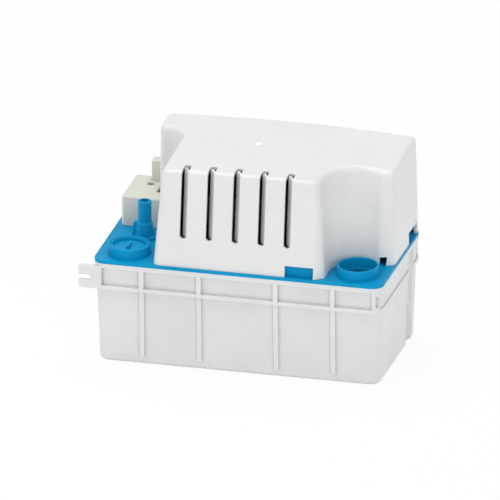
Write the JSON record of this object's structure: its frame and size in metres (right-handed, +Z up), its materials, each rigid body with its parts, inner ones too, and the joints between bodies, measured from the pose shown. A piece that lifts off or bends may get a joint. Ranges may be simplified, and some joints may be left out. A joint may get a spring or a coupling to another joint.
{
  "type": "condensate pump",
  "caption": "Tank-type condensate pump: ribbed tank, coloured deck with inlet collars and hose spigot, vented motor cover, float switch and submerged impeller.",
  "frame": {"origin": "centre of the tank's flat base", "axes": "+Z up out of the base, +X along the tank towards the open inlet, -Y out of the vented front"},
  "size_m": [0.241, 0.126, 0.1664],
  "materials": {
    "tank_white": "satin moulded plastic",
    "cover_white": "satin moulded plastic",
    "box_white": "satin moulded plastic",
    "deck_blue": "satin moulded plastic",
    "black_plastic": "matte",
    "grey_plastic": "matte",
    "float_plastic": "foamed, matte",
    "lamination_steel": "oiled laminations",
    "bright_steel": "turned",
    "cast_alloy": "die cast",
    "bronze": "sintered",
    "copper": "enamelled wire and drawn copper",
    "black_rubber": "matte"
  },
  "bodies": {
    "tank": {"tank": "tank_white"},
    "cover": {"motor_cover": "cover_white"},
    "plug": {"inlet_plug": "deck_blue"},
    "rotor": {"rotor_shaft": "bright_steel", "rotor": "lamination_steel", "thrust_washers": "grey_plastic", "water_slinger": "black_rubber", "cooling_fan": "grey_plastic", "impeller": "grey_plastic"},
    "float": {"float": "float_plastic", "float_stem": "grey_plastic", "stem_collar": "grey_plastic"},
    "switch_lever": {"switch_lever": "bright_steel"},
    "switch_plungers": {"switch_plungers": "grey_plastic"},
    "valve_ball": {"check_valve_ball": "black_rubber"},
    "deck": {"deck_plate": "deck_blue", "discharge_spigot": "deck_blue", "terminal_box": "box_white", "terminal_box_lid": "box_white", "box_lid_screw": "bright_steel", "cord_grommet": "black_rubber", "terminal_block": "black_plastic", "check_valve_seat": "grey_plastic", "discharge_pipe": "grey_plastic", "lower_bearing_bracket": "cast_alloy", "upper_bearing_bracket": "cast_alloy", "lower_bearing": "bronze", "upper_bearing": "bronze", "stator_core": "lamination_steel", "shading_rings": "copper", "coil_bobbin": "black_plastic", "coil_winding": "copper", "motor_bolts": "bright_steel", "volute": "grey_plastic", "suction_plate": "grey_plastic", "volute_screws": "bright_steel", "pump_column": "grey_plastic", "column_screws": "bright_steel", "lever_pin": "bright_steel", "switch_pins": "bright_steel", "switch_bracket": "bright_steel", "run_switch": "black_plastic", "alarm_switch": "black_plastic"}
  },
  "joints": [
    {"name": "deck_lift", "type": "slide", "parent": "tank", "child": "deck", "axis": [0, 0, 1], "range_m": [0, 0.09]},
    {"name": "cover_lift", "type": "slide", "parent": "deck", "child": "cover", "axis": [0, 0, 1], "range_m": [0, 0.09]},
    {"name": "plug_pull", "type": "slide", "parent": "deck", "child": "plug", "axis": [0, 0, 1], "range_m": [0, 0.02]},
    {"name": "rotor_spin", "type": "hinge", "parent": "deck", "child": "rotor", "pos_m": [0.008, 0.008, 0.118], "axis": [0, 0, 1], "continuous": true},
    {"name": "float_rise", "type": "slide", "parent": "deck", "child": "float", "axis": [0, 0, 1], "range_m": [0, 0.014]},
    {"name": "lever_tilt", "type": "hinge", "parent": "deck", "child": "switch_lever", "pos_m": [0.076, 0.046, 0.099], "axis": [-1, 0, 0], "range_deg": [0, 25.88]},
    {"name": "plunger_press", "type": "slide", "parent": "deck", "child": "switch_plungers", "axis": [0, 0, 1], "range_m": [0, 0.0026]},
    {"name": "ball_lift", "type": "slide", "parent": "deck", "child": "valve_ball", "axis": [0, 0, 1], "range_m": [0, 0.005]}
  ],
  "couplings": [
    {"joint": "lever_tilt", "follows": "float_rise", "rad_per_m": 32.258},
    {"joint": "plunger_press", "follows": "float_rise", "ratio": 0.18571}
  ]
}
